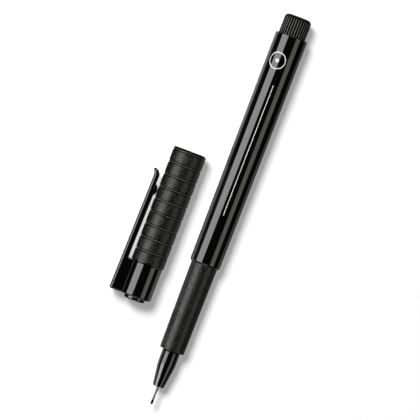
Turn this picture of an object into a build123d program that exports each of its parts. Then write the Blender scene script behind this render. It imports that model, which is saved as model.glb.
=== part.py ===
"""Fineliner pen with its clip cap taken off and lying beside it, in millimetres.

The pen lies along Y with its nib towards -Y, +Z is up, and the origin is on the table under the
middle of the pair. Places on the pen run from the nib's point, places on the cap from its mouth.
"""

import os

from build123d import *

# Fits and cuts
press_gap = 0.02  # pieces that are pressed together
slip_gap = 0.05  # pieces that slide in or past one another
cut_overrun = 1.0  # how far a cut runs on past the face that it opens

# Pen lengths, from the point to the end of the plug
nib_reach = 1.6
tube_reach = 4.95
nose_length = 12.85
grip_length = 31.15
barrel_length = 82.45
head_length = 7.0

# Nib, steel tube and the holder that both sit in
nib_radius = 0.25
nib_round_share = 0.8
tube_wall = 0.1
tube_round_share = 0.5
tube_hold = 4.5
collar_wall = 0.5
collar_length = 2.6
holder_wall = 0.45
holder_length = 13.5

# Feed wick, and the ink reservoir in its film
wick_radius = 1.0
wick_hold = 7.0
wick_bite = 8.5
wick_chamfer = 0.4
nib_bite = 2.5
film_wall = 0.12
film_overhang = 0.5

# Front section: nose, core under the grip, and spigot in the barrel
nose_radius = 3.1
nose_tip_radius = 1.8
nose_edge_round = 0.2
nose_blend_radius = 32.0
seat_length = 4.6
section_wall = 0.85
spigot_length = 10.0
spigot_wall = 0.95
spigot_floor = 1.2
spigot_chamfer = 0.5

# Grip sleeve
grip_wall = 1.155
grip_taper = 0.3
grip_edge_round = 0.25

# Barrel
barrel_lap = 0.13  # how far the grip's rear face laps over the barrel's front face
barrel_wall = 0.855
barrel_taper = 0.275
barrel_bevel_length = 0.42
barrel_bevel_depth = 0.2
barrel_rear_round = 0.35
rib_count = 6
rib_height = 0.5
rib_width = 0.9

# End plug
head_ledge = 0.23
head_round = 1.3
head_wall = 1.6
flute_count = 32
flute_radius = 0.3
plug_length = 8.5
plug_wall = 0.9
plug_chamfer = 0.5
fin_count = 4
fin_width = 0.8

# Cap sleeve
cap_clearance = 0.075
sleeve_wall = 1.1
sleeve_length = 41.0
mouth_bevel_length = 0.6
mouth_bevel_depth = 0.35
mouth_chamfer = 0.25
mouth_groove = 1.1
pair_count = 8
pair_spacing = 0.59  # from one groove of a pair to the other
groove_width = 0.43
groove_floor_width = 0.1
groove_depth = 0.36
rear_bevel = 0.42
first_band = 5.35
last_band = 4.45

# Cap end, with its spigot in the sleeve and the block that carries the clip
spigot_step = 0.35
end_step = 0.35
end_round = 0.7
end_floor = 1.2
grip_room = 0.45  # from the grip's front face to the cap end's spigot, with the cap on
crease_round = 0.3

# Seal liner, whose closed end shows as a raised disc
seal_gap = 0.03
seal_length = 5.0
seal_relief = 0.15
liner_wall = 0.75
liner_setback = 0.3
liner_floor = 1.2
nib_room = 2.0
disc_step = 0.23
disc_height = 1.25
disc_round = 0.3

# Clip
clip_gap = 1.06
clip_lean = 0.36  # how far the outer face closes on the sleeve, from the root to the lip
clip_width = 5.7
clip_corner = 1.2
clip_crown = 0.9
clip_tip_place = 9.3
root_thickness = 2.3
waist_thickness = 2.1
tip_thickness = 1.67
root_gap = 0.05
root_ledge = 0.02  # how far the round root stays inside the clip's outer face
lip_length = 1.7
lip_lift = 0.7
lip_bevel = 0.35
lip_edge = 0.55
lip_hollow = 2.4
bump_place = 16.3
bump_length = 2.9
bump_width = 3.4
bump_gap = 0.1

# Where the cap lies, from the pen's axis and from the nib's point
cap_spacing = 18.1
mouth_place = 84.6

# Places along the pen
tube_front = nib_reach
nose_front = tube_front + tube_reach
grip_front = nose_front + nose_length
barrel_front = grip_front + grip_length
barrel_rear = barrel_front + barrel_length
pen_length = barrel_rear + head_length
collar_rear = nose_front + collar_length
tube_rear = nose_front + tube_hold
holder_rear = nose_front + holder_length
wick_front = holder_rear - wick_hold
nib_rear = wick_front + nib_bite
seat_front = grip_front - seat_length
spigot_rear = barrel_front + spigot_length
plug_front = barrel_rear - plug_length
film_front = spigot_rear + slip_gap
film_rear = plug_front - slip_gap
core_front = film_front + film_overhang
core_rear = film_rear - film_overhang
wick_rear = core_front + wick_bite

# Radii of the pen, from the nib outwards
tube_bore = nib_radius + press_gap
tube_radius = tube_bore + tube_wall
collar_bore = tube_radius + press_gap
collar_radius = collar_bore + collar_wall
wick_bore = wick_radius + slip_gap
holder_radius = wick_bore + holder_wall
section_bore = nose_radius - section_wall
grip_bore = nose_radius + press_gap
grip_front_radius = grip_bore + grip_wall
grip_rear_radius = grip_front_radius + grip_taper
barrel_bore = grip_rear_radius - barrel_lap
barrel_front_radius = barrel_bore + barrel_wall
barrel_rear_radius = barrel_front_radius + barrel_taper
spigot_radius = barrel_bore - press_gap
head_radius = barrel_bore + head_ledge
plug_bore = spigot_radius - plug_wall
film_radius = barrel_bore - rib_height - slip_gap
core_radius = film_radius - film_wall - press_gap

# Places and radii of the cap
seat_place = grip_length + grip_room
cap_length = barrel_front + nib_room + liner_floor
end_place = cap_length - disc_height
shelf_place = end_place - end_floor
liner_front = seat_place + liner_setback
cap_bore = grip_rear_radius + cap_clearance
sleeve_radius = cap_bore + sleeve_wall
end_seat_radius = cap_bore + spigot_step
end_radius = sleeve_radius - end_step
liner_bore = nose_radius + seal_gap
liner_radius = liner_bore + liner_wall
disc_radius = liner_radius - disc_step
pair_pitch = (sleeve_length - first_band - last_band) / (pair_count - 1)

# Places of the clip: its outer face is one straight line from the lip to the end of the block
lip_place = clip_tip_place + lip_length
root_round = (root_thickness - root_ledge) / 2
root_inner = sleeve_radius + clip_gap
root_middle = root_inner + root_round
root_outer = root_inner + root_thickness
tip_outer = root_outer - clip_lean
clip_slope = clip_lean / (sleeve_length - lip_place)
bump_outer = tip_outer + clip_slope * (bump_place - lip_place)
block_outer = root_outer + clip_slope * (end_place - sleeve_length)
lip_outer = tip_outer + lip_lift
bevel_slope = lip_bevel / lip_edge
tip_inner = tip_outer - tip_thickness
waist_inner = bump_outer - waist_thickness

# The pen lies on its barrel, whose taper lifts the rear of its axis
pen_way = Vector(0, barrel_length, barrel_taper).normalized()
nib_height = barrel_front_radius * pen_way.Y - barrel_front * pen_way.Z

# The cap lies beside it, and the origin is midway across the pair
pen_x = (cap_spacing + lip_outer - barrel_rear_radius) / 2
cap_x = pen_x - cap_spacing
nib_y = -pen_length / 2
mouth_y = nib_y + mouth_place
pen_origin = (pen_x, nib_y, nib_height)
cap_origin = (cap_x, mouth_y, sleeve_radius)

# Planes along the two axes: the first coordinate is the radius, the second the place
pen_plane = Plane(origin=pen_origin, x_dir=(1, 0, 0), z_dir=(0, -pen_way.Z, pen_way.Y))
cap_plane = Plane(origin=cap_origin, x_dir=(-1, 0, 0), z_dir=(0, 0, 1))
pen_axis = Axis(pen_origin, pen_way)
cap_axis = Axis(cap_origin, (0, -1, 0))
# Plane square to the pen's axis at the nib's point, and one that faces the clip's outside
pen_square = Plane(origin=pen_origin, x_dir=(1, 0, 0), z_dir=pen_way)
clip_plan = Plane(origin=cap_origin, x_dir=(0, -1, 0), z_dir=(-1, 0, 0))


# Nib: a fibre rod with a rounded point
with BuildPart() as nib:
    with BuildSketch(pen_plane):
        with BuildLine():
            Polyline((0, 0), (nib_radius, 0), (nib_radius, nib_rear), (0, nib_rear), close=True)
        make_face()
    revolve(axis=pen_axis)
    fillet(nib.edges().group_by(pen_axis)[0], nib_round_share * nib_radius)

# Steel tube that sleeves the nib
with BuildPart() as tip_tube:
    with BuildSketch(pen_plane):
        with BuildLine():
            Polyline(
                (tube_bore, tube_front),
                (tube_radius, tube_front),
                (tube_radius, tube_rear),
                (tube_bore, tube_rear),
                close=True,
            )
        make_face()
    revolve(axis=pen_axis)
    tube_rim = tip_tube.edges().group_by(pen_axis)[0].sort_by(SortBy.RADIUS)[-1]
    fillet(tube_rim, tube_round_share * tube_wall)

# Nib holder: a stepped bush with the tube in its front and the wick in its rear
with BuildPart() as nib_holder:
    with BuildSketch(pen_plane):
        with BuildLine():
            Polyline(
                (collar_bore, nose_front),
                (collar_radius, nose_front),
                (collar_radius, collar_rear),
                (holder_radius, collar_rear),
                (holder_radius, holder_rear),
                (wick_bore, holder_rear),
                (wick_bore, wick_front),
                (tube_bore, wick_front),
                (tube_bore, tube_rear),
                (collar_bore, tube_rear),
                close=True,
            )
        make_face()
    revolve(axis=pen_axis)

# Feed wick: it takes the nib's tail in its front and reaches into the reservoir
with BuildPart() as feed_wick:
    with BuildSketch(pen_plane):
        with BuildLine():
            Polyline(
                (tube_bore, wick_front),
                (wick_radius, wick_front),
                (wick_radius, wick_rear),
                (0, wick_rear),
                (0, nib_rear),
                (tube_bore, nib_rear),
                close=True,
            )
        make_face()
    revolve(axis=pen_axis)
    chamfer(feed_wick.edges().group_by(pen_axis)[-1], wick_chamfer)

# Reservoir: a fibre core in a film that stands past it at both ends
with BuildPart() as reservoir_core:
    with BuildSketch(pen_plane):
        with BuildLine():
            Polyline(
                (wick_bore, core_front),
                (core_radius, core_front),
                (core_radius, core_rear),
                (0, core_rear),
                (0, wick_rear),
                (wick_bore, wick_rear),
                close=True,
            )
        make_face()
    revolve(axis=pen_axis)

with BuildPart() as reservoir_film:
    with BuildSketch(pen_plane):
        with BuildLine():
            Polyline(
                (film_radius - film_wall, film_front),
                (film_radius, film_front),
                (film_radius, film_rear),
                (film_radius - film_wall, film_rear),
                close=True,
            )
        make_face()
    revolve(axis=pen_axis)

# Front section: the nose runs in a soft curve from its cone into the straight core
with BuildPart() as front_section:
    with BuildSketch(pen_plane) as section_sketch:
        with BuildLine():
            Polyline(
                (collar_radius + press_gap, nose_front),
                (nose_tip_radius, nose_front),
                (nose_radius, seat_front),
                (nose_radius, barrel_front),
                (spigot_radius, barrel_front),
                (spigot_radius, spigot_rear),
                (spigot_radius - spigot_wall, spigot_rear),
                (spigot_radius - spigot_wall, barrel_front + spigot_floor),
                (section_bore, barrel_front + spigot_floor),
                (section_bore, holder_rear),
                (holder_radius + press_gap, holder_rear),
                (holder_radius + press_gap, collar_rear),
                (collar_radius + press_gap, collar_rear),
                close=True,
            )
        make_face()
        cone_corner = section_sketch.vertices().sort_by_distance((nose_radius, seat_front))[0]
        fillet(cone_corner, nose_blend_radius)
    revolve(axis=pen_axis)
    nose_rim = front_section.edges().group_by(pen_axis)[0].sort_by(SortBy.RADIUS)[-1]
    fillet(nose_rim, nose_edge_round)
    spigot_rim = front_section.edges().group_by(pen_axis)[-1].sort_by(SortBy.RADIUS)[-1]
    chamfer(spigot_rim, spigot_chamfer)

# Grip: a matt sleeve over the core, slightly thicker towards the barrel
with BuildPart() as grip_sleeve:
    with BuildSketch(pen_plane):
        with BuildLine():
            Polyline(
                (grip_bore, grip_front),
                (grip_front_radius, grip_front),
                (grip_rear_radius, barrel_front),
                (grip_bore, barrel_front),
                close=True,
            )
        make_face()
    revolve(axis=pen_axis)
    grip_rim = grip_sleeve.edges().group_by(pen_axis)[0].sort_by(SortBy.RADIUS)[-1]
    fillet(grip_rim, grip_edge_round)

# Barrel: a tapered tube with a bevelled front edge, and ribs inside that centre the reservoir
with BuildPart() as barrel:
    with BuildSketch(pen_plane):
        with BuildLine():
            Polyline(
                (barrel_bore, barrel_front),
                (barrel_front_radius - barrel_bevel_depth, barrel_front),
                (barrel_front_radius, barrel_front + barrel_bevel_length),
                (barrel_rear_radius, barrel_rear),
                (barrel_bore, barrel_rear),
                close=True,
            )
        make_face()
    revolve(axis=pen_axis)
    fillet(barrel.edges().group_by(pen_axis)[-1].sort_by(SortBy.RADIUS)[-1], barrel_rear_round)
    rib_root = barrel_wall / 2  # how deep a rib runs into the wall
    with BuildSketch(pen_square.offset(spigot_rear)):
        with PolarLocations(barrel_bore - rib_height + (rib_height + rib_root) / 2, rib_count):
            Rectangle(rib_height + rib_root, rib_width)
    extrude(amount=plug_front - spigot_rear)

# End plug: a fluted head on a hollow spigot, with fins that stop the reservoir
with BuildPart() as end_plug:
    with BuildSketch(pen_plane):
        with BuildLine():
            Polyline(
                (plug_bore, plug_front),
                (spigot_radius, plug_front),
                (spigot_radius, barrel_rear),
                (head_radius, barrel_rear),
                (head_radius, pen_length),
                (0, pen_length),
                (0, pen_length - head_wall),
                (plug_bore, pen_length - head_wall),
                close=True,
            )
        make_face()
    revolve(axis=pen_axis)
    fillet(end_plug.edges().group_by(pen_axis)[-1], head_round)
    plug_rim = end_plug.edges().group_by(pen_axis)[0].sort_by(SortBy.RADIUS)[-1]
    chamfer(plug_rim, plug_chamfer)
    with BuildSketch(pen_square.offset(barrel_rear)):
        with PolarLocations(head_radius, flute_count):
            Circle(flute_radius)
    extrude(amount=head_length + cut_overrun, mode=Mode.SUBTRACT)
    fin_length = plug_bore + plug_wall / 2
    with BuildSketch(pen_square.offset(plug_front)):
        with PolarLocations(fin_length / 2, fin_count):
            Rectangle(fin_length, fin_width)
    extrude(amount=pen_length - head_wall - plug_front)

# Cap sleeve: a matt tube with bevelled ends and paired ring grooves between its bands
with BuildPart() as cap_sleeve:
    with BuildSketch(cap_plane):
        with BuildLine():
            Polyline(
                (cap_bore, 0),
                (sleeve_radius - mouth_bevel_depth, 0),
                (sleeve_radius, mouth_bevel_length),
                (sleeve_radius, sleeve_length - rear_bevel),
                (sleeve_radius - rear_bevel, sleeve_length),
                (end_seat_radius, sleeve_length),
                (end_seat_radius, seat_place),
                (cap_bore, seat_place),
                close=True,
            )
        make_face()
    revolve(axis=cap_axis)
    chamfer(cap_sleeve.edges().group_by(Axis.Y)[-1].sort_by(SortBy.RADIUS)[0], mouth_chamfer)
    groove_floor = sleeve_radius - groove_depth
    groove_places = [mouth_groove]
    for pair in range(pair_count):
        pair_middle = first_band + pair * pair_pitch
        groove_places += [pair_middle - pair_spacing / 2, pair_middle + pair_spacing / 2]
    with BuildSketch(cap_plane):
        for groove_place in groove_places:
            with BuildLine():
                Polyline(
                    (groove_floor, groove_place - groove_floor_width / 2),
                    (sleeve_radius, groove_place - groove_width / 2),
                    (sleeve_radius + cut_overrun, groove_place - groove_width / 2),
                    (sleeve_radius + cut_overrun, groove_place + groove_width / 2),
                    (sleeve_radius, groove_place + groove_width / 2),
                    (groove_floor, groove_place + groove_floor_width / 2),
                    close=True,
                )
            make_face()
    revolve(axis=cap_axis, mode=Mode.SUBTRACT)

# Cap end: glossy end with the clip's block on its side, and a spigot up into the sleeve
with BuildPart() as cap_end:
    with BuildSketch(cap_plane):
        with BuildLine():
            Polyline(
                (0, sleeve_length),
                (end_radius, sleeve_length),
                (end_radius, end_place),
                (0, end_place),
                close=True,
            )
        make_face()
    revolve(axis=cap_axis)
    with BuildSketch(cap_plane):
        with BuildLine():
            Polyline(
                (0, sleeve_length),
                (root_outer, sleeve_length),
                (block_outer, end_place),
                (0, end_place),
                close=True,
            )
        make_face()
    extrude(amount=clip_width / 2, both=True)
    fillet(cap_end.edges().filter_by(Axis.Y), crease_round)
    block_face = cap_end.faces().filter_by(GeomType.PLANE).sort_by(Axis.X)[0]
    fillet(block_face.edges().sort_by(SortBy.LENGTH)[-2:], clip_crown)
    end_face = cap_end.faces().filter_by(GeomType.PLANE).sort_by(Axis.Y)[0]
    fillet(end_face.outer_wire().edges(), end_round)
    with BuildSketch(cap_plane):
        with BuildLine():
            Polyline(
                (0, seat_place),
                (end_seat_radius - press_gap, seat_place),
                (end_seat_radius - press_gap, sleeve_length),
                (0, sleeve_length),
                close=True,
            )
        make_face()
    revolve(axis=cap_axis)
    with BuildSketch(cap_plane):
        with BuildLine():
            Polyline(
                (0, seat_place - cut_overrun),
                (liner_radius + press_gap, seat_place - cut_overrun),
                (liner_radius + press_gap, shelf_place),
                (disc_radius + press_gap, shelf_place),
                (disc_radius + press_gap, end_place + cut_overrun),
                (0, end_place + cut_overrun),
                close=True,
            )
        make_face()
    revolve(axis=cap_axis, mode=Mode.SUBTRACT)
    with BuildSketch(cap_plane):
        with Locations((root_middle, sleeve_length)):
            Circle(root_round + root_gap)
    extrude(amount=clip_width / 2 + cut_overrun, both=True, mode=Mode.SUBTRACT)

# Seal liner: it closes on the nose, and its blind end stands out through the cap end as a disc
with BuildPart() as seal_liner:
    with BuildSketch(cap_plane):
        with BuildLine():
            Polyline(
                (liner_bore, liner_front),
                (liner_radius, liner_front),
                (liner_radius, shelf_place),
                (disc_radius, shelf_place),
                (disc_radius, cap_length),
                (0, cap_length),
                (0, cap_length - liner_floor),
                (liner_bore - seal_relief, cap_length - liner_floor),
                (liner_bore - seal_relief, shelf_place),
                (liner_bore + seal_relief, liner_front + seal_length),
                (liner_bore, liner_front + seal_length),
                close=True,
            )
        make_face()
    revolve(axis=cap_axis)
    fillet(seal_liner.edges().group_by(Axis.Y)[0], disc_round)

# Outer line of the clip, from behind its root to past its lip
with BuildLine() as outer_line:
    Line(
        (root_outer + clip_slope * root_thickness, sleeve_length + root_thickness),
        (tip_outer, lip_place),
    )
    lip_arc = TangentArc(
        (tip_outer, lip_place),
        (lip_outer, clip_tip_place + lip_bevel),
        tangent=(-clip_slope, -1),
    )
    Line(lip_arc @ 1, lip_arc @ 1 + cut_overrun * (lip_arc % 1))
outer_path = cap_plane * outer_line.wire()

# Clip: a crowned bar along that line, cut to an arm with a rounded root, a bump that grips the
# cloth and a lip that flares out
with BuildPart() as clip:
    with BuildSketch(Plane(outer_path @ 0, x_dir=(0, 0, 1), z_dir=outer_path % 0)) as bar_sketch:
        Rectangle(clip_width, root_thickness + cut_overrun, align=(Align.CENTER, Align.MIN))
        fillet(bar_sketch.vertices().group_by(Axis.Y)[0], clip_crown)
    sweep(path=outer_path)
    with BuildSketch(cap_plane):
        with BuildLine():
            ThreePointArc(
                (root_inner, sleeve_length),
                (root_middle, sleeve_length + root_round),
                (root_outer - root_ledge, sleeve_length),
            )
            Polyline(
                (root_outer - root_ledge, sleeve_length),
                (lip_outer + cut_overrun, sleeve_length),
                (lip_outer + cut_overrun, clip_tip_place + bevel_slope * (lip_edge + cut_overrun)),
                (lip_outer - lip_edge, clip_tip_place),
            )
            TangentArc(
                (tip_inner, clip_tip_place + lip_hollow),
                (lip_outer - lip_edge, clip_tip_place),
                tangent=(0, -1),
            )
            Polyline(
                (tip_inner, clip_tip_place + lip_hollow),
                (tip_inner, bump_place),
                (waist_inner, bump_place),
                (root_inner, sleeve_length),
            )
        make_face()
    extrude(amount=clip_width, both=True, mode=Mode.INTERSECT)
    with BuildSketch(clip_plan) as plan_sketch:
        with Locations((clip_tip_place, 0)):
            Rectangle(sleeve_length, clip_width, align=(Align.MIN, Align.CENTER))
        fillet(plan_sketch.vertices().group_by(Axis.X)[0], clip_corner)
    extrude(amount=lip_outer + cut_overrun, mode=Mode.INTERSECT)
    with BuildSketch(cap_plane):
        with BuildLine():
            ThreePointArc(
                (tip_inner, bump_place - bump_length / 2),
                (sleeve_radius + bump_gap, bump_place),
                (tip_inner, bump_place + bump_length / 2),
            )
            Line((tip_inner, bump_place + bump_length / 2), (tip_inner, bump_place - bump_length / 2))
        make_face()
    extrude(amount=bump_width / 2, both=True)

pieces = {
    "nib": nib,
    "tip_tube": tip_tube,
    "nib_holder": nib_holder,
    "feed_wick": feed_wick,
    "reservoir_core": reservoir_core,
    "reservoir_film": reservoir_film,
    "front_section": front_section,
    "grip_sleeve": grip_sleeve,
    "barrel": barrel,
    "end_plug": end_plug,
    "cap_sleeve": cap_sleeve,
    "cap_end": cap_end,
    "seal_liner": seal_liner,
    "clip": clip,
}
os.makedirs("parts", exist_ok=True)
for name, piece in pieces.items():
    piece.part.label = name
    export_step(piece.part, f"parts/{name}.step")
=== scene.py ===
"""Looks of the fineliner pen: turned and moulded black plastic, a steel-sleeved point and white print."""

import math

import bmesh
import bpy
from mathutils import Matrix, Vector


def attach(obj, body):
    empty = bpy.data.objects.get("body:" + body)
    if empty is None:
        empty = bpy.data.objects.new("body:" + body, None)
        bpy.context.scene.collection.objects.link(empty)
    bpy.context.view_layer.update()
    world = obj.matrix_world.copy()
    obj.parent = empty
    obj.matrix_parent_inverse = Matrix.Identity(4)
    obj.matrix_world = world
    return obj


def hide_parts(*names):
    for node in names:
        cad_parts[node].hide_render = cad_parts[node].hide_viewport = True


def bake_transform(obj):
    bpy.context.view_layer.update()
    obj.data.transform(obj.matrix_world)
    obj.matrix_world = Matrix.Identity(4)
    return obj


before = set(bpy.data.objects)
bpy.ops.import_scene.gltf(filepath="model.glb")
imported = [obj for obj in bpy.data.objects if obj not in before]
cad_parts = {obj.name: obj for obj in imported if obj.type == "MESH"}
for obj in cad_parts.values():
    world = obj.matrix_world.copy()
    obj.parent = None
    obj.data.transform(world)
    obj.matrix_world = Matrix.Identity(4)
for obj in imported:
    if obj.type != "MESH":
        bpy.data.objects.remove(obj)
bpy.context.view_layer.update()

# Sizes in millimetres. Some lie a little nearer to the photograph than those of the part's source.
MM = 0.001
press_gap = 0.02

# How finely the pieces are drawn: points this near are joined, while drawn and then in metres once placed,
# corners of more than these degrees stay sharp, and a round has so many steps
join_distance = 0.0001
placed_join_distance = 1e-8
sharp_angle = 40.0
small_round = 0.1
small_round_steps = 3
large_round_steps = 7

# Marks of a profile: the share by which it is smooth, or fluted with crests painted pale as a highlight, and -1
# on an edge painted pale as a highlight
plain, half_smooth, smooth, fluted, painted_highlight_edge = 0.0, 0.6, 1.0, 1.0, -1.0

# Places on the pen run from the nib's point.
nib_radius = 0.25
nib_head_radius = 0.4
nib_point_round = 0.16
nib_head_round = 0.04
tube_front = 1.6
nose_front = 6.45
collar_rear = 9.15
tube_rear = 11.05
wick_front = 13.05
seat_front = 14.3
nib_rear = 15.55
grip_front = 19.4
holder_rear = 20.05
barrel_front = 50.55
spigot_rear = 60.55
plug_front = 124.5
barrel_rear = 132.92
pen_length = 139.88

tube_bore = 0.27
tube_radius = 0.37
tube_round = 0.05
collar_radius = 0.89
collar_round = 0.08
holder_radius = 1.5
holder_round = 0.1
wick_bore = 1.05
nose_tip_radius = 1.92
nose_radius = 3.02
nose_blend = 14.0
nose_bore_round = 0.05
nose_rim_inset = 0.05
nose_rim_length = 0.12
nose_rim_rounds = (0.03, 0.04)
shadow_groove_width = 0.5
shadow_groove_depth = 0.26
shadow_groove_floor = 0.22
shadow_groove_rounds = (0.03, 0.02)
section_bore = 2.25
grip_front_radius = 4.275
grip_rear_radius = 4.575
grip_bore_round = 0.08
grip_front_round = 0.25
barrel_bore = 4.445
barrel_front_radius = 5.3
barrel_rear_radius = 5.575
barrel_bevel_length = 0.55
barrel_bevel_depth = 0.26
barrel_bevel_round = 0.05
barrel_rear_round = 0.35
spigot_radius = 4.425
spigot_round = 0.5
spigot_bore = 3.475
spigot_floor = 1.2
plug_bore = 3.525
head_radius = 4.675
head_front_round = 0.08
head_rear_round = 1.3
head_wall = 1.6
flute_count = 32
flute_steps = 16
flute_radius = 0.3
crest_highlight_width = 0.1
plug_flutes = {
    "Flutes": flute_count,
    "Flute Radius": flute_radius,
    "Flute Circle": head_radius,
    "Crest Highlight Width": crest_highlight_width,
}
no_flutes = {"Flutes": 1, "Flute Radius": 0.0, "Flute Circle": 100.0, "Crest Highlight Width": 1e6}

# Places on the cap run from its mouth.
seat_place = 31.6
liner_front = 31.9
sleeve_length = 41.0
shelf_place = 51.3
end_place = 52.5
cap_length = 53.75
cap_bore = 4.65
end_seat_radius = 5.0
sleeve_radius = 5.75
end_radius = 5.4
end_round = 0.7
crease_round = 0.1
liner_bore = 3.13
liner_radius = 3.88
liner_floor = 1.2
liner_round = 0.15
liner_floor_round = 0.3
seal_length = 5.0
seal_relief = 0.15
disc_radius = 3.65
disc_round = 0.6
hole_chamfer = 0.06
mouth_bore_round = 0.2
mouth_bevel_length = 0.6
mouth_bevel_depth = 0.35
mouth_bevel_rounds = (0.08, 0.04)
mouth_groove = 1.1
pair_count = 8
pair_spacing = 0.59
groove_width = 0.48
groove_floor_width = 0.05
groove_depth = 0.25
groove_round = 0.03
rear_bevel = 0.42
rear_bevel_rounds = (0.06, 0.03)
first_band = 5.35
last_band = 4.45

# Clip, outwards from the cap's axis
clip_half_width = 2.85
clip_crown = 0.9
clip_crown_share = 0.65
clip_crown_limit = 0.9
clip_corner = 1.2
clip_least = 0.12
clip_inner_round = 0.25
clip_inner_share = 0.3
clip_tip_place = 9.3
lip_place = 12.0
lip_bevel = 0.35
lip_edge = 0.55
lip_bevel_share = 0.75
lip_hollow = 2.4
bump_place = 16.5
bump_width = 3.4
bump_round = 1.47
bump_side_round = 0.5
bump_stretch = 1.4
bump_gap = 0.02
root_inner = 6.86
root_outer = 9.11
tip_outer = 8.68
tip_inner = 6.88
waist_inner = 6.48
lip_outer = 9.45
clip_slope = (root_outer - tip_outer) / (sleeve_length - lip_place)
notch_round = 0.4

# White print on the barrel
print_lift = 0.012
print_ring_place = 123.58
print_ring_across = -1.78
print_ring_outer = 2.99
print_ring_inner = 2.67
print_dot_radius = 0.62
print_line_front = 68.5
print_line_rear = 115.3
print_line_half = 0.12
print_line_lean = 0.07

# Where the pen and the cap lie
pen_x = 10.9875
cap_x = -7.1125
nib_y = -70.0
mouth_y = 14.6
barrel_length = barrel_rear - barrel_front
barrel_growth = barrel_rear_radius - barrel_front_radius
pen_way = Vector((0, barrel_length, barrel_growth)).normalized()
nib_height = barrel_front_radius * pen_way.y - barrel_front * pen_way.z


def lying(origin, x_way, y_way):
    """Matrix that takes a piece drawn in millimetres, with its axis along Y, to its place in metres."""
    z_way = Vector(x_way).cross(Vector(y_way))
    turn = Matrix((x_way, y_way, z_way)).transposed().to_4x4()
    return Matrix.Scale(MM, 4) @ Matrix.Translation(origin) @ turn


lies = {
    "pen": lying((pen_x, nib_y, nib_height), (1, 0, 0), pen_way),
    "cap": lying((cap_x, mouth_y, sleeve_radius), (-1, 0, 0), (0, -1, 0)),
}


class Value:
    """An output socket that maths can be written on: each operation adds a Math node to its tree."""

    def __init__(self, tree, outputs, key):
        self.tree, self.outputs = tree, outputs
        self.socket = pick(outputs, key)

    def out(self, key):
        return Value(self.tree, self.outputs, key)

    def __add__(self, other):
        return self.tree.math("ADD", self, other)

    def __sub__(self, other):
        return self.tree.math("SUBTRACT", self, other)

    def __rsub__(self, other):
        return self.tree.math("SUBTRACT", other, self)

    def __mul__(self, other):
        return self.tree.math("MULTIPLY", self, other)

    def __truediv__(self, other):
        return self.tree.math("DIVIDE", self, other)

    def __rtruediv__(self, other):
        return self.tree.math("DIVIDE", other, self)

    def __mod__(self, other):
        return self.tree.math("FLOORED_MODULO", self, other)

    __radd__ = __add__


def pick(sockets, key):
    """The socket of that number, or the one in use of that name."""
    if isinstance(key, int):
        return sockets[key]
    return next(s for s in sockets if s.name == key and s.enabled)


class Tree:
    """A node tree. Every node comes from node(), and maths on numbers from math()."""

    def __init__(self, tree):
        self.tree = tree

    def node(self, kind, settings=None, inputs=None, output=0):
        made = self.tree.nodes.new(kind)
        for name, value in (settings or {}).items():
            setattr(made, name, value)
        for key, value in (inputs or {}).items():
            socket = pick(made.inputs, key)
            if isinstance(value, Value):
                self.tree.links.new(value.socket, socket)
            else:
                socket.default_value = value
        return Value(self, made.outputs, output) if made.outputs else None

    def math(self, operation, *values):
        return self.node("ShaderNodeMath", {"operation": operation}, dict(enumerate(values)))


class Finish(Tree):
    """The tree of a material, with the textures that the finishes share."""

    def __init__(self, name):
        self.material = bpy.data.materials.new(name)
        self.material.use_nodes = True
        self.material.node_tree.nodes.clear()
        super().__init__(self.material.node_tree)
        self.place = self.node("ShaderNodeTexCoord", output="Object")

    def noise(self, scale, detail=2.0, stretch=(1, 1, 1)):
        """Noise with that many grains to the metre, drawn out along an axis where stretch is below 1."""
        grains = self.node("ShaderNodeVectorMath", {"operation": "MULTIPLY"}, {0: self.place, 1: stretch})
        return self.node("ShaderNodeTexNoise", inputs={"Vector": grains, "Scale": scale, "Detail": detail})

    def blend(self, share, low, high):
        return self.node(
            "ShaderNodeMix",
            {"data_type": "RGBA"},
            {"Factor": share, "A": (*low, 1), "B": (*high, 1)},
            "Result",
        )

    def mark(self):
        """Share by which a profile is marked here, 0 on a piece without marks."""
        return self.node("ShaderNodeAttribute", {"attribute_name": "mark"}, output="Fac")

    def fade(self, value, start, end, first, last):
        """Goes smoothly from the first to the last level as the value goes from start to end."""
        return self.node(
            "ShaderNodeMapRange",
            {"interpolation_type": "SMOOTHSTEP"},
            {"Value": value, "From Min": start, "From Max": end, "To Min": first, "To Max": last},
        )

    def bump(self, height, depth, strength=1.0):
        """Surface relief of that depth in metres."""
        return self.node("ShaderNodeBump", inputs={"Height": height, "Distance": depth, "Strength": strength})

    def opaque(self, inputs):
        return self.surface(self.node("ShaderNodeBsdfPrincipled", inputs=inputs))

    def surface(self, shader):
        self.node("ShaderNodeOutputMaterial", inputs={"Surface": shader})
        return self.material


def gloss_black():
    """Polished black moulding: deep gloss with faint flow marks and hairline scuffs."""
    finish = Finish("gloss black moulding")
    flow = finish.noise(160.0, 3.0)
    scuff = finish.noise(2400.0, 3.0, (1, 0.04, 1))
    dust = finish.noise(5200.0)
    hairline = finish.math("SMOOTH_MAX", scuff - 0.6, 0.0, 0.05)
    return finish.opaque(
        {
            "Base Color": finish.blend(flow, (0.0008, 0.0008, 0.0008), (0.0016, 0.0016, 0.0016)),
            "Roughness": 0.022 + hairline * 0.25 + dust * 0.015,
            "IOR": 1.5,
            "Coat Weight": 0.25,
            "Coat Roughness": 0.02,
            "Normal": finish.bump(flow, 0.000006),
        }
    )


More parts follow.
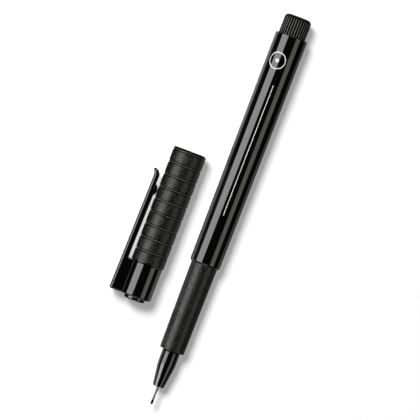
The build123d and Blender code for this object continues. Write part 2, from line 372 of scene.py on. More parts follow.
def matt_black():
    """Spark-textured black moulding: a fine even grain that breaks up the shine.

    It is smooth where its mark is 1, and painted pale on a narrow edge where it is -1, a painted highlight.
    """
    finish = Finish("matt black moulding")
    grain = finish.noise(7000.0, 2.0)
    patch = finish.noise(1500.0, 3.0)
    pits = finish.node("ShaderNodeTexVoronoi", inputs={"Vector": finish.place, "Scale": 5200.0})
    cells = finish.node(
        "ShaderNodeTexVoronoi", inputs={"Vector": finish.place, "Scale": 2600.0}, output="Color"
    )
    speck = finish.node("ShaderNodeSeparateColor", inputs={"Color": cells}, output="Red")
    mark = finish.mark()
    textured = 1 - finish.math("MAXIMUM", mark, 0.0)
    highlight_paint = finish.math("MAXIMUM", 0.0 - mark, 0.0)
    relief = (grain + pits * 0.7 + patch * 4) * textured
    return finish.opaque(
        {
            # The base is painted pale where the mark is -1: a painted highlight on groove edges
            "Base Color": finish.blend(
                speck * textured * 0.05 + highlight_paint * 0.8, (0.002, 0.002, 0.0017), (0.13, 0.13, 0.118)
            ),
            "Roughness": 0.07 + textured * (0.04 + grain * 0.1 + patch * 0.1 + speck * 0.36),
            "IOR": 1.5,
            "Specular IOR Level": 0.33,
            "Normal": finish.bump(relief, 0.00002, 0.6),
        }
    )


def satin_black():
    """Plug moulding: dull flutes with crests painted pale, a painted highlight, and a satin end face with the
    tool's turning marks, painted a little lighter as sheen.
    """
    finish = Finish("satin black moulding")
    crest_highlight = finish.mark()
    grain = finish.noise(5200.0)
    tool_marks = finish.noise(900.0, 2.0, (0.1, 6.0, 0.1))
    along = finish.node("ShaderNodeSeparateXYZ", inputs={"Vector": finish.place}, output="Y")
    plug_end = (nib_y + pen_length) * MM
    face = finish.fade(along, start=plug_end - 0.0012, end=plug_end - 0.0001, first=0.0, last=1.0)
    return finish.opaque(
        {
            "Base Color": finish.blend(
                # Crests painted pale as a painted highlight; the end face painted a little lighter as a painted
                # sheen
                crest_highlight * (0.6 + grain * 0.4) + face * 0.014, (0.0006, 0.0006, 0.0006), (0.46, 0.46, 0.45)
            ),
            "Roughness": 0.55 + grain * 0.1 + tool_marks * 0.05 - crest_highlight * 0.2 - face * 0.25,
            "IOR": 1.5,
            "Specular IOR Level": 0.03,
            "Normal": finish.bump(grain, 0.000008, 0.5),
        }
    )


def holder_black():
    finish = Finish("holder moulding")
    grain = finish.noise(6000.0)
    return finish.opaque(
        {
            "Base Color": finish.blend(grain, (0.012, 0.012, 0.012), (0.022, 0.022, 0.022)),
            "Roughness": 0.4 + grain * 0.15,
            "Normal": finish.bump(grain, 0.00001, 0.5),
        }
    )


def tip_steel():
    """Drawn stainless tube: streaks along its length."""
    finish = Finish("drawn steel")
    streak = finish.noise(16000.0, 3.0, (1, 0.02, 1))
    return finish.opaque(
        {
            "Base Color": finish.blend(streak, (0.06, 0.059, 0.057), (0.14, 0.138, 0.134)),
            "Metallic": 1.0,
            "Roughness": 0.12 + streak * 0.12,
            "Normal": finish.bump(streak, 0.000004, 0.4),
        }
    )


def fibre(name, low, high, roughness):
    """Bonded fibre: fine strands along the pen."""
    finish = Finish(name)
    strand = finish.noise(11000.0, 3.0, (1, 0.06, 1))
    return finish.opaque(
        {
            "Base Color": finish.blend(strand, low, high),
            "Roughness": roughness + strand * 0.1,
            "Specular IOR Level": 0.04,
            "Normal": finish.bump(strand, 0.00002, 0.8),
        }
    )


def film_white():
    finish = Finish("reservoir film")
    crinkle = finish.noise(700.0, 3.0, (1, 0.15, 1))
    return finish.opaque(
        {
            "Base Color": finish.blend(crinkle, (0.76, 0.77, 0.78), (0.84, 0.85, 0.86)),
            "Roughness": 0.18 + crinkle * 0.12,
            "Normal": finish.bump(crinkle, 0.00004, 0.6),
        }
    )


def print_white():
    """Pad-printed white ink: slightly uneven cover and a dull skin."""
    finish = Finish("white print")
    cover = finish.noise(9000.0, 2.0)
    return finish.opaque(
        {
            "Base Color": finish.blend(cover, (0.8, 0.8, 0.79), (0.9, 0.9, 0.89)),
            "Roughness": 0.42 + cover * 0.12,
            "Normal": finish.bump(cover, 0.000004, 0.5),
        }
    )


finishes = {
    "gloss_black": gloss_black(),
    "matt_black": matt_black(),
    "satin_black": satin_black(),
    "holder_black": holder_black(),
    "tip_steel": tip_steel(),
    "fibre_black": fibre("inked fibre", (0.0015, 0.0015, 0.002), (0.006, 0.006, 0.007), 0.7),
    "fibre_white": fibre("bonded fibre", (0.6, 0.59, 0.55), (0.8, 0.79, 0.75), 0.85),
    "film_white": film_white(),
}
white = print_white()


def new_group(name, inputs):
    """An empty Geometry Nodes tree with those named inputs and one output."""
    group = bpy.data.node_groups.new(name, "GeometryNodeTree")
    for label, kind in inputs.items():
        group.interface.new_socket(name=label, in_out="INPUT", socket_type=kind)
    group.interface.new_socket(name="Piece", in_out="OUTPUT", socket_type="NodeSocketGeometry")
    return group


def finish_group(tree, geometry, material):
    whole = tree.node("GeometryNodeRealizeInstances", inputs={"Geometry": geometry})
    dressed = tree.node("GeometryNodeSetMaterial", inputs={"Geometry": whole, "Material": material})
    tree.node("NodeGroupOutput", inputs={"Piece": dressed})


def turning_group():
    """Turns a profile of (radius, place) points about Y.

    The flutes cut its marked points, and the mark stays on what they leave, fading away from their crests, where
    the plug's finish paints a pale highlight.
    """
    group = new_group(
        "turned piece",
        {
            "Profile": "NodeSocketGeometry",
            "Segments": "NodeSocketInt",
            "Flutes": "NodeSocketInt",
            "Flute Radius": "NodeSocketFloat",
            "Flute Circle": "NodeSocketFloat",
            "Crest Highlight Width": "NodeSocketFloat",
            "Finish": "NodeSocketMaterial",
        },
    )
    tree = Tree(group)
    given = tree.node("NodeGroupInput", output="Profile")
    segments = given.out("Segments")
    points = tree.node(
        "GeometryNodeAttributeDomainSize",
        {"component": "MESH"},
        {"Geometry": given},
        "Point Count",
    )
    around = segments + 1
    grid = tree.node("GeometryNodeMeshGrid", inputs={"Vertices X": points, "Vertices Y": around}, output="Mesh")
    index = tree.node("GeometryNodeInputIndex")
    row = tree.math("FLOOR", (index + 0.5) / around)
    angle = (index - row * around) * (2 * math.pi) / segments
    drawn = tree.node(
        "GeometryNodeSampleIndex",
        {"data_type": "FLOAT_VECTOR"},
        {"Geometry": given, "Value": tree.node("GeometryNodeInputPosition"), "Index": row},
        "Value",
    )
    marks = tree.node("GeometryNodeInputNamedAttribute", {"data_type": "FLOAT"}, {"Name": "mark"}, "Attribute")
    marked = tree.node(
        "GeometryNodeSampleIndex",
        {"data_type": "FLOAT"},
        {"Geometry": given, "Value": marks, "Index": row},
        "Value",
    )
    profile = tree.node("ShaderNodeSeparateXYZ", inputs={"Vector": drawn}, output="X")
    circle = given.out("Flute Circle")
    cutter = given.out("Flute Radius")
    pitch = 2 * math.pi / given.out("Flutes")
    off_centre = tree.math("ABSOLUTE", (angle / pitch + 0.5) % 1.0 - 0.5) * pitch * circle
    off_crest = pitch * circle / 2 - off_centre + circle - profile
    bite = tree.math("SQRT", tree.math("MAXIMUM", cutter * cutter - off_centre * off_centre, 0.0))
    limit = circle - bite + (1 - marked) * circle
    radius = tree.math("MINIMUM", profile, limit)
    placed = tree.node(
        "ShaderNodeCombineXYZ",
        inputs={
            "X": radius * tree.math("SINE", angle),
            "Y": profile.out("Y"),
            "Z": radius * tree.math("COSINE", angle),
        },
    )
    skin = tree.node("GeometryNodeSetPosition", inputs={"Geometry": grid, "Position": placed})
    crest_highlight = tree.math("MAXIMUM", 1 - off_crest / given.out("Crest Highlight Width"), 0.0)
    labelled = tree.node(
        "GeometryNodeStoreNamedAttribute",
        {"data_type": "FLOAT", "domain": "POINT"},
        {"Geometry": skin, "Name": "mark", "Value": marked * crest_highlight},
    )
    joined = tree.node("GeometryNodeMergeByDistance", inputs={"Geometry": labelled, "Distance": join_distance})
    finish_group(tree, joined, given.out("Finish"))
    return group


def wrapping_group():
    """Wraps flat print, drawn as (across, place), on the tapered barrel."""
    group = new_group(
        "wrapped print",
        {
            "Print": "NodeSocketGeometry",
            "Front Place": "NodeSocketFloat",
            "Front Radius": "NodeSocketFloat",
            "Taper": "NodeSocketFloat",
            "Finish": "NodeSocketMaterial",
        },
    )
    tree = Tree(group)
    given = tree.node("NodeGroupInput", output="Print")
    flat = tree.node(
        "ShaderNodeSeparateXYZ",
        inputs={"Vector": tree.node("GeometryNodeInputPosition")},
        output="X",
    )
    place = flat.out("Y")
    radius = given.out("Front Radius") + (place - given.out("Front Place")) * given.out("Taper")
    angle = flat / radius
    placed = tree.node(
        "ShaderNodeCombineXYZ",
        inputs={"X": radius * tree.math("SINE", angle), "Y": place, "Z": radius * tree.math("COSINE", angle)},
    )
    wrapped = tree.node("GeometryNodeSetPosition", inputs={"Geometry": given, "Position": placed})
    finish_group(tree, wrapped, given.out("Finish"))
    return group


turning = turning_group()
wrapping = wrapping_group()


def grown(name, mesh, group, values):
    """Runs a Geometry Nodes tree on a drawn mesh and returns the result as a plain mesh."""
    drawn = bpy.data.objects.new(name + " drawing", mesh)
    bpy.context.scene.collection.objects.link(drawn)
    modifier = drawn.modifiers.new(group.name, "NODES")
    modifier.node_group = group
    sockets = {s.name: s.identifier for s in group.interface.items_tree if s.in_out == "INPUT"}
    for label, value in values.items():
        modifier[sockets[label]] = value
    depsgraph = bpy.context.evaluated_depsgraph_get()
    result = bpy.data.meshes.new_from_object(drawn.evaluated_get(depsgraph), depsgraph=depsgraph)
    bpy.data.objects.remove(drawn)
    return result


def piece(name, mesh, body, slot=None, closed=True, rides=True):
    """Makes a drawn mesh a finished piece: placed, closed, facing outwards and smooth but for its corners."""
    mesh.transform(lies[body])
    shape = bmesh.new()
    shape.from_mesh(mesh)
    if closed:
        bmesh.ops.remove_doubles(shape, verts=shape.verts, dist=placed_join_distance)
        bmesh.ops.recalc_face_normals(shape, faces=shape.faces)
    for face in shape.faces:
        face.smooth = True
    shape.to_mesh(mesh)
    shape.free()
    mesh.set_sharp_from_angle(angle=math.radians(sharp_angle))
    made = bpy.data.objects.new(name, mesh)
    bpy.context.scene.collection.objects.link(made)
    if slot:
        if not mesh.materials:
            mesh.materials.append(finishes[slot])
    if rides:
        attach(made, body)
    return made


def rounded(corners):
    """Points (radius, place, mark) through corners of (radius, place, round), each cut to an arc of its round.

    A corner may have its mark behind its round.
    """
    points = []
    count = len(corners)
    for i, (radius, place, curve, *mark) in enumerate(corners):
        here = Vector((radius, place))
        mark = mark[0] if mark else plain
        if not curve:
            points.append((radius, place, mark))
            continue
        back = (Vector(corners[i - 1][:2]) - here).normalized()
        ahead = (Vector(corners[(i + 1) % count][:2]) - here).normalized()
        half = back.angle(ahead) / 2
        centre = here + (back + ahead).normalized() * (curve / math.sin(half))
        start = here + back * (curve / math.tan(half)) - centre
        end = here + ahead * (curve / math.tan(half)) - centre
        sweep = start.angle_signed(end)
        steps = small_round_steps if curve < small_round else large_round_steps
        for k in range(steps + 1):
            points.append((*(centre + Matrix.Rotation(-sweep * k / steps, 2) @ start), mark))
    return points


def turned(node, body, slot, corners, ring=True, segments=192, flutes=no_flutes):
    """A turned piece that stands for a CAD node. Ring profiles close on themselves, others end on the axis."""
    points = rounded(corners)
    if ring:
        points.append(points[0])
    drawing = bpy.data.meshes.new(node)
    edges = [(i, i + 1) for i in range(len(points) - 1)]
    drawing.from_pydata([(radius, place, 0) for radius, place, mark in points], edges, [])
    marks = drawing.attributes.new("mark", "FLOAT", "POINT")
    marks.data.foreach_set("value", [mark for radius, place, mark in points])
    mesh = grown(node, drawing, turning, {"Segments": segments, **flutes, "Finish": finishes[slot]})
    made = piece(node + "_turned", mesh, body, slot)
    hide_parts(node)


def pen_pieces():
    """The turned pieces of the pen, from the point to the plug."""
    nib_head_rear = tube_front - press_gap
    turned(
        "nib",
        "pen",
        "fibre_black",
        [
            (0, 0, 0),
            (nib_head_radius, 0, nib_point_round),
            (nib_head_radius, nib_head_rear, nib_head_round),
            (nib_radius, nib_head_rear, 0),
            (nib_radius, nib_rear, 0),
            (0, nib_rear, 0),
        ],
        ring=False,
        segments=64,
    )
    turned(
        "tip_tube",
        "pen",
        "tip_steel",
        [
            (tube_bore, tube_front, 0),
            (tube_radius, tube_front, tube_round),
            (tube_radius, tube_rear, 0),
            (tube_bore, tube_rear, 0),
        ],
        segments=96,
    )
    tube_seat = tube_radius + press_gap
    turned(
        "nib_holder",
        "pen",
        "holder_black",
        [
            (tube_seat, nose_front, collar_round),
            (collar_radius, nose_front, collar_round),
            (collar_radius, collar_rear, 0),
            (holder_radius, collar_rear, 0),
            (holder_radius, holder_rear, holder_round),
            (wick_bore, holder_rear, 0),
            (wick_bore, wick_front, 0),
            (tube_bore, wick_front, 0),
            (tube_bore, tube_rear, 0),
            (tube_seat, tube_rear, 0),
        ],
        segments=96,
    )
    collar_seat = collar_radius + press_gap
    holder_seat = holder_radius + press_gap
    turned(
        "front_section",
        "pen",
        "gloss_black",
        [
            (collar_seat, nose_front, nose_bore_round),
            (nose_tip_radius - nose_rim_inset, nose_front, nose_rim_rounds[0]),
            (nose_tip_radius, nose_front + nose_rim_length, nose_rim_rounds[1]),
            (nose_radius, seat_front, nose_blend),
            (nose_radius, grip_front - shadow_groove_width, shadow_groove_rounds[0]),
            (nose_radius - shadow_groove_depth, grip_front - shadow_groove_floor, shadow_groove_rounds[1]),
            (nose_radius, grip_front + press_gap, 0),
            (nose_radius, barrel_front, 0),
            (spigot_radius, barrel_front, 0),
            (spigot_radius, spigot_rear, spigot_round),
            (spigot_bore, spigot_rear, 0),
            (spigot_bore, barrel_front + spigot_floor, 0),
            (section_bore, barrel_front + spigot_floor, 0),
            (section_bore, holder_rear, 0),
            (holder_seat, holder_rear, 0),
            (holder_seat, collar_rear, 0),
            (collar_seat, collar_rear, 0),
        ],
    )
    turned(
        "grip_sleeve",
        "pen",
        "matt_black",
        [
            (nose_radius + press_gap, grip_front, grip_bore_round),
            (grip_front_radius, grip_front, grip_front_round),
            (grip_rear_radius, barrel_front, 0),
            (nose_radius + press_gap, barrel_front, 0),
        ],
    )
    turned(
        "barrel",
        "pen",
        "gloss_black",
        [
            (barrel_bore, barrel_front, 0),
            (barrel_front_radius - barrel_bevel_depth, barrel_front, barrel_bevel_round),
            (barrel_front_radius, barrel_front + barrel_bevel_length, barrel_bevel_round),
            (barrel_rear_radius, barrel_rear, barrel_rear_round),
            (barrel_bore, barrel_rear, 0),
        ],
    )
    turned(
        "end_plug",
        "pen",
        "satin_black",
        [
            (plug_bore, plug_front, 0),
            (spigot_radius, plug_front, spigot_round),
            (spigot_radius, barrel_rear, 0),
            (head_radius, barrel_rear, head_front_round, fluted),
            (head_radius, pen_length, head_rear_round, fluted),
            (0, pen_length, 0),
            (0, pen_length - head_wall, 0),
            (plug_bore, pen_length - head_wall, 0),
        ],
        segments=flute_count * flute_steps,
        flutes=plug_flutes,
    )


def cap_turned_pieces():
    """The cap's sleeve, with smooth bevels and grooves, and the liner whose end stands out as a disc."""
    outside = [
        (cap_bore, 0, mouth_bore_round),
        (sleeve_radius - mouth_bevel_depth, 0, mouth_bevel_rounds[0], smooth),
        (sleeve_radius, mouth_bevel_length, mouth_bevel_rounds[1], half_smooth),
    ]
    pitch = (sleeve_length - first_band - last_band) / (pair_count - 1)
    # Edges marked -1 are painted pale by the matt finish as a painted highlight: the mouth groove's front edge
    # and the ridge between each pair's grooves
    grooves = [(mouth_groove, painted_highlight_edge, plain)]
    for pair in range(pair_count):
        middle = first_band + pair * pitch
        grooves += [(middle - pair_spacing / 2, plain, painted_highlight_edge), (middle + pair_spacing / 2, painted_highlight_edge, plain)]
    for middle, front_mark, rear_mark in grooves:
        outside += [
            (sleeve_radius, middle - groove_width / 2, groove_round, front_mark),
            (sleeve_radius - groove_depth, middle - groove_floor_width / 2, groove_round, smooth),
            (sleeve_radius - groove_depth, middle + groove_floor_width / 2, groove_round, smooth),
            (sleeve_radius, middle + groove_width / 2, groove_round, rear_mark),
        ]
    inside = [
        (end_seat_radius, sleeve_length, 0),
        (end_seat_radius, seat_place, 0),
        (cap_bore, seat_place, 0),
    ]
    rear = [
        (sleeve_radius, sleeve_length - 2 * rear_bevel, 0),
        (sleeve_radius, sleeve_length - rear_bevel, rear_bevel_rounds[0], smooth),
        (sleeve_radius - rear_bevel, sleeve_length, rear_bevel_rounds[1], smooth),
    ]
    turned("cap_sleeve", "cap", "matt_black", outside + rear + inside)
    turned(
        "seal_liner",
        "cap",
        "gloss_black",
        [
            (liner_bore, liner_front, liner_round),
            (liner_radius, liner_front, liner_round),
            (liner_radius, shelf_place, 0),
            (disc_radius, shelf_place, 0),
            (disc_radius, cap_length, disc_round),
            (0, cap_length, 0),
            (0, cap_length - liner_floor, 0),
            (liner_bore - seal_relief, cap_length - liner_floor, liner_floor_round),
            (liner_bore - seal_relief, shelf_place, 0),
            (liner_bore + seal_relief, liner_front + seal_length, 0),
            (liner_bore, liner_front + seal_length, 0),
        ],
    )


def skinned(name, rings, loop):
    """Mesh of quads between rings of points, closed round on itself or capped at both ends."""
    size = len(rings[0])
    points = [p for ring in rings for p in ring]
    last = len(rings) if loop else len(rings) - 1
    faces = [
        (
            r * size + i,
            r * size + (i + 1) % size,
            (r + 1) % len(rings) * size + (i + 1) % size,
            (r + 1) % len(rings) * size + i,
        )
        for r in range(last)
        for i in range(size)
    ]
    if not loop:
        faces += [tuple(range(size)), tuple(range(len(points) - 1, len(points) - size - 1, -1))]
    mesh = bpy.data.meshes.new(name)
    mesh.from_pydata(points, [], faces)
    return mesh


def arc(centre, radius, start, end, steps):
    """Points and outward directions along an arc, with angles in degrees."""
    angles = [math.radians(start + (end - start) * k / steps) for k in range(steps + 1)]
    ways = [Vector((math.cos(a), math.sin(a))) for a in angles]
    return [(Vector(centre) + radius * way, way) for way in ways]


def end_outline(outer):
    """The cap end's outline, round the far side and the clip's block, with its outward directions."""
    flank = clip_half_width + crease_round
    crease_x = math.sqrt((end_radius + crease_round) ** 2 - flank**2)
    crease_angle = math.degrees(math.atan2(flank, crease_x))
    half = arc((0, 0), end_radius, 180, crease_angle, steps=60)
    crease = arc((crease_x, flank), crease_round, crease_angle + 180, 270, steps=8)
    half += [(p, -n) for p, n in crease]
    half += arc((outer - clip_crown, clip_half_width - clip_crown), clip_crown, 90, 0, steps=10)
    mirrored = [(Vector((p.x, -p.y)), Vector((n.x, -n.y))) for p, n in reversed(half)]
    return half + mirrored[:-1]


def cap_end():
    """Glossy end of the cap with the block that carries the clip, and the spigot up into the sleeve."""

    def outline(place, inset):
        outer = root_outer + clip_slope * (place - sleeve_length)
        return [((p - n * inset).x, place, (p - n * inset).y) for p, n in end_outline(outer)]

    def circle(place, radius):
        ways = [p.normalized() for p, n in end_outline(root_outer)]
        return [(radius * way.x, place, radius * way.y) for way in ways]

    hole = disc_radius + press_gap
    spigot = end_seat_radius - press_gap
    liner_seat = liner_radius + press_gap
    round_steps, wall_spacing = 8, 3.0
    rings = [circle(end_place - hole_chamfer, hole), circle(end_place, hole + hole_chamfer)]
    for k in range(round_steps + 1):
        turn = math.radians(90 * k / round_steps)
        rings.append(outline(end_place - end_round * (1 - math.cos(turn)), end_round * (1 - math.sin(turn))))
    rings += [outline(end_place - end_round - wall_spacing * k, 0) for k in range(1, 4)]
    rings += [outline(sleeve_length, 0)]
    rings += [circle(sleeve_length, spigot), circle(seat_place, spigot)]
    rings += [circle(seat_place, liner_seat), circle(shelf_place, liner_seat), circle(shelf_place, hole)]
    made = piece("cap_end_moulding", skinned("cap_end", rings, True), "cap", "gloss_black")
    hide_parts("cap_end")


def hollowing(run, lift, along):
    """Rise at a place along an arc that starts level and gains that lift over that run."""
    curve = (run**2 + lift**2) / (2 * lift)
    return curve - math.sqrt(curve**2 - along**2)


def clip_section(place):
    """Inner and outer face and half width of the clip at a place."""
    outer = tip_outer + clip_slope * (place - lip_place)
    bevel_place = clip_tip_place + lip_bevel
    if place < lip_place:
        run = lip_place - bevel_place
        outer = tip_outer + hollowing(run, lip_outer - tip_outer, min(lip_place - place, run))
    if place < bevel_place:
        outer = lip_outer - lip_edge * (bevel_place - place) / lip_bevel * lip_bevel_share
    if place > bump_place:
        inner = waist_inner + (root_inner - waist_inner) * (place - bump_place) / (sleeve_length - bump_place)
        near = max(0.0, place - (sleeve_length - notch_round))
        inner -= notch_round - math.sqrt(notch_round**2 - near**2)
    else:
        inner = tip_inner
    hollow_place = clip_tip_place + lip_hollow
    if place < hollow_place:
        inner = tip_inner + hollowing(lip_hollow, lip_outer - lip_edge - tip_inner, hollow_place - place)
    corner = max(0.0, clip_corner - (place - clip_tip_place))
    half = clip_half_width - clip_corner + math.sqrt(clip_corner**2 - corner**2)
    return inner, outer, half


def clip_ring(place):
    """Section of the clip across its length: crowned outside, lightly rounded inside."""
    inner, outer, half = clip_section(place)
    thick = max(outer - inner, clip_least)
    crown = min(clip_crown, clip_crown_share * thick, clip_crown_limit * half)
    edge = min(clip_inner_round, clip_inner_share * thick)
    points = arc((inner + thick - crown, half - crown), crown, 90, 0, steps=8)
    points += arc((inner + thick - crown, crown - half), crown, 0, -90, steps=8)
    points += arc((inner + edge, edge - half), edge, 270, 180, steps=5)
    points += arc((inner + edge, half - edge), edge, 180, 90, steps=5)
    return [(p.x, place, p.y) for p, n in points]


def clip_arm():
    """The clip's arm from its root to its lip, with close sections where it curves."""
    notch_steps, arm_steps, lip_steps = 10, 23, 30
    arm_spacing = 1.0
    by_bump = (0.1, 0.0, -0.02, -2.0, -4.0)
    turns = [math.radians(90 * k / notch_steps) for k in range(notch_steps + 1)]
    places = [sleeve_length - notch_round * (1 - math.cos(turn)) for turn in turns]
    places += [sleeve_length - notch_round - arm_spacing * k for k in range(1, arm_steps + 1)]
    places += [bump_place + off for off in by_bump]
    places += [clip_tip_place + lip_hollow * (1 - k / lip_steps) for k in range(lip_steps + 1)]
    return skinned("clip", [clip_ring(p) for p in sorted(set(places), reverse=True)], False)


def clip_bump():
    """The round bump on the clip's inner side, a drawn-out roller with rounded ends."""
    half_steps, around = 12, 48
    middle = sleeve_radius + bump_gap + bump_round
    circle = arc((0, 0), 1, 0, 360 - 360 / around, steps=around - 1)
    rings = []
    for k in range(-half_steps, half_steps + 1):
        side = bump_width / 2 * math.sin(math.radians(90 / half_steps * k))
        past = max(0.0, abs(side) - (bump_width / 2 - bump_side_round))
        radius = bump_round - bump_side_round + math.sqrt(max(bump_side_round**2 - past**2, 0.0))
        rings.append([(middle + radius * n.x, bump_place + bump_stretch * radius * n.y, side) for p, n in circle])
    return skinned("clip bump", rings, False)


def clip():
    """Sprung clip in one moulding with its block: the arm and its bump drawn as one mesh, placed but attached to
    no body.
    """
    arm = clip_arm()
    shape = bmesh.new()
    shape.from_mesh(arm)
    shape.from_mesh(clip_bump())
    shape.to_mesh(arm)
    shape.free()
    made = piece("clip_moulding", arm, "cap", "gloss_black", rides=False)
    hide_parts("clip")
    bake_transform(made)


def print_piece(name, points, faces):
    """White print on the barrel, drawn flat as (across, place)."""
    drawing = bpy.data.meshes.new(name)
    drawing.from_pydata([(x, y, 0) for x, y in points], [], faces)
    mesh = grown(
        name,
        drawing,
        wrapping,
        {
            "Front Place": barrel_front,
            "Front Radius": barrel_front_radius + print_lift,
            "Taper": barrel_growth / barrel_length,
            "Finish": white,
        },
    )
    piece(name, mesh, "pen", closed=False)


def barrel_print():
    """A ring with a plain dot, and a thin line along the barrel."""
    steps = 96
    turns = [2 * math.pi * k / steps for k in range(steps)]

    def circles(*radii):
        return [
            (print_ring_across + r * math.cos(a), print_ring_place + r * math.sin(a))
            for a in turns
            for r in radii
        ]

    rim = circles(print_ring_inner, print_ring_outer)
    faces = [(2 * k, 2 * k + 1, (2 * k + 3) % (2 * steps), (2 * k + 2) % (2 * steps)) for k in range(steps)]
    print_piece("print_ring", rim, faces)
    spot = [(print_ring_across, print_ring_place)] + circles(print_dot_radius)
    print_piece("print_dot", spot, [(0, k + 1, (k + 1) % steps + 1) for k in range(steps)])
    ends = ((print_line_front, -print_line_lean), (print_line_rear, print_line_lean))
    strip = [(x + lean, y) for y, lean in ends for x in (-print_line_half, 0.0, print_line_half)]
    print_piece("print_line", strip, [(0, 1, 4, 3), (1, 2, 5, 4)])


pen_pieces()
cap_turned_pieces()
cap_end()
clip()
barrel_print()
for inner_node, inner_slot in (
    ("feed_wick", "fibre_white"),
    ("reservoir_core", "fibre_white"),
    ("reservoir_film", "film_white"),
):
    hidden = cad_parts[inner_node]
    hidden.data.materials.clear()
    hidden.data.materials.append(finishes[inner_slot])


def floor():
    """White table. What the camera and the gloss see of it is lifted to white, and the shadow stays.

    The gloss sees a painted reflection of it: the sheet by the pen, weaker on the right as painted shade, and
    beyond it the table painted dark, though it is lit.
    """
    finish = Finish("white table")
    path = finish.node("ShaderNodeLightPath", output="Is Camera Ray")
    gloss = path.out("Is Glossy Ray")
    seen = finish.math("MINIMUM", path + gloss + path.out("Is Transmission Ray"), 1.0)
    lit = finish.node("ShaderNodeBsdfDiffuse", inputs={"Color": (0.8, 0.8, 0.8, 1)})
    away = finish.node("ShaderNodeVectorMath", {"operation": "LENGTH"}, {0: finish.place}, "Value")
    level = seen * finish.fade(away, start=0.12, end=0.6, first=0.33, last=0.95)
    lift = finish.node("ShaderNodeEmission", inputs={"Color": (1, 1, 1, 1), "Strength": level})
    white_table = finish.node("ShaderNodeAddShader", inputs={0: lit, 1: lift})
    painted_dark_reflection = finish.node("ShaderNodeBsdfDiffuse", inputs={"Color": (0, 0, 0, 1)})
    across = finish.node("ShaderNodeSeparateXYZ", inputs={"Vector": finish.place}, output="X")
    along = across.out("Y")
    far = finish.math("ABSOLUTE", across - pen_x * MM)
    beyond_mouth = finish.fade(along, start=0.01, end=0.03, first=0.0, last=1.0)
    beyond_cap_end = finish.fade(along, start=-0.05, end=-0.036, first=1.0, last=0.0)
    clear = beyond_mouth + beyond_cap_end
    sheet_start = 0.011 - clear * 0.003
    sheet_full = 0.019 - clear * 0.0065
    sheet = finish.fade(far, sheet_start, sheet_full, first=0.22, last=0.8 + clear * 0.15)
    near = sheet * finish.fade(far, start=0.02, end=0.027, first=1.0, last=0.04)
    # Painted shade: the gloss sees the table darker to the right of the pen
    to_right = finish.fade(across, start=0.0, end=0.02, first=1.0, last=0.6 - clear * 0.35)
    shaded = gloss * (1 - near * to_right)
    finish.surface(finish.node("ShaderNodeMixShader", inputs={0: shaded, 1: white_table, 2: painted_dark_reflection}))
    reach = 3
    corners = [(-reach, -reach, 0), (reach, -reach, 0), (reach, reach, 0), (-reach, reach, 0)]
    mesh = bpy.data.meshes.new("table")
    mesh.from_pydata(corners, [], [(0, 1, 2, 3)])
    mesh.materials.append(finish.material)
    table = bpy.data.objects.new("table", mesh)
    bpy.context.scene.collection.objects.link(table)


def backdrop():
    """White behind everything, and a dark room in the gloss."""
    world = bpy.data.worlds.new("studio")
    world.use_nodes = True
    world.node_tree.nodes.clear()
    tree = Tree(world.node_tree)
    path = tree.node("ShaderNodeLightPath", output="Is Camera Ray")
    room = tree.node("ShaderNodeBackground", inputs={"Color": (0.02, 0.02, 0.02, 1), "Strength": 1.0})
    white_wall = tree.node("ShaderNodeBackground", inputs={"Color": (1, 1, 1, 1), "Strength": 1.0})
    mixed = tree.node("ShaderNodeMixShader", inputs={0: path, 1: room, 2: white_wall})
    tree.node("ShaderNodeOutputWorld", inputs={"Surface": mixed})
    bpy.context.scene.world = world


def leaning(degrees):
    """Direction across the pen that leans from straight up to the right, or to the left below 0."""
    lean = math.radians(degrees)
    return (math.sin(lean), 0, math.cos(lean))


def soft_box(
    name, direction, distance, width, length, radiance, aim=(0.004, 0, 0.005), turn=0, colour=(1, 1, 1)
):
    """Rectangular soft light that faces its aim, with its length along the pen or turned from it by degrees."""
    data = bpy.data.lights.new(name, "AREA")
    data.shape = "RECTANGLE"
    data.size, data.size_y = width, length
    data.energy = radiance * math.pi * width * length
    data.color = colour
    lamp = bpy.data.objects.new(name, data)
    bpy.context.scene.collection.objects.link(lamp)
    back = Vector(direction).normalized()
    along = Vector((0, 1, 0))
    along = (along - back * along.dot(back)).normalized()
    across = along.cross(back)
    facing = Matrix((across, along, back)).transposed().to_4x4()
    facing = facing @ Matrix.Rotation(math.radians(turn), 4, "Z")
    lamp.matrix_world = Matrix.Translation(back * distance + Vector(aim)) @ facing
    lamp.visible_camera = False
    return lamp


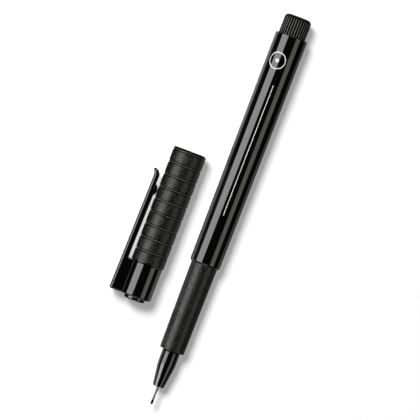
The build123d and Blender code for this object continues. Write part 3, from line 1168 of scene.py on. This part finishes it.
def lights():
    """A large soft box on the left and a weak one on the right show in the gloss; a lamp above lights the table.

    The left one is brighter at its far end, which draws the nose. Two low cards between the cap and the pen keep
    the one from darkening the other's rim, and three beyond the ends draw the forms when they are seen along the
    pen. A strip under the clip lifts the shadow in its slot.
    """
    shown = [
        soft_box("left soft box", leaning(-47), distance=0.55, width=0.47, length=0.8, radiance=4.95, turn=-11),
        soft_box(
            "far end of the left soft box",
            leaning(-51),
            distance=0.53,
            width=0.36,
            length=0.22,
            radiance=3.0,
            aim=(0.004, -0.29, 0.005),
            turn=-11,
        ),
        soft_box(
            "right soft box",
            leaning(53.2),
            distance=0.55,
            width=0.31,
            length=0.8,
            radiance=1.5,
            colour=(1.0, 1.0, 0.9),
        ),
    ]
    for name, side, width, radiance, height in (
        ("card to the pen", -1, 0.0042, 0.75, 0.0052),
        ("card to the cap", 1, 0.003, 0.6, 0.0058),
    ):
        between = (0.002, -0.012, height)
        shown.append(soft_box(name, (side, 0, 0), 0.0, width, length=0.053, radiance=radiance, aim=between))
    for name, direction, length, radiance in (
        ("card beyond the point", (0, -1, 0.5), 0.42, 1.0),
        ("card beyond the plug", (0, 1, 0.27), 0.16, 1.0),
        ("high card beyond the plug", (0, 1, 0.95), 0.2, 0.8),
    ):
        shown.append(soft_box(name, direction, distance=0.7, width=0.5, length=length, radiance=radiance))
    for box in shown:
        box.visible_diffuse = False
    slot_out, slot_place, slot_height = 7.2, 24.5, 2.2
    slot = Vector((cap_x - slot_out, mouth_y - slot_place, slot_height)) * MM
    strip = soft_box("strip under the clip", (0, 0, 1), 0.0, width=0.0008, length=0.033, radiance=3.1, aim=slot)
    top = soft_box("lamp above", (-0.41, 0.37, 1.0), distance=1.6, width=0.512, length=0.512, radiance=32.2)
    strip.visible_glossy = top.visible_glossy = False


def camera():
    """Long lens above the table, turned so that the pen leans as in the photograph."""
    target = Vector((6.11, -1.5, 5.5)) * MM
    place = Vector((6.11, 25.5, 920.0)) * MM
    picture_up = Vector((-0.35674, 0.93421, 0))
    data = bpy.data.cameras.new("camera")
    data.sensor_width = 36.0
    data.lens = 232.2
    data.clip_start, data.clip_end = 0.05, 20.0
    view = bpy.data.objects.new("camera", data)
    bpy.context.scene.collection.objects.link(view)
    back = (place - target).normalized()
    across = picture_up.cross(back).normalized()
    facing = Matrix((across, back.cross(across), back)).transposed().to_4x4()
    view.matrix_world = Matrix.Translation(place) @ facing
    bpy.context.scene.camera = view


floor()
backdrop()
lights()
camera()
bpy.context.scene.view_settings.view_transform = "Standard"
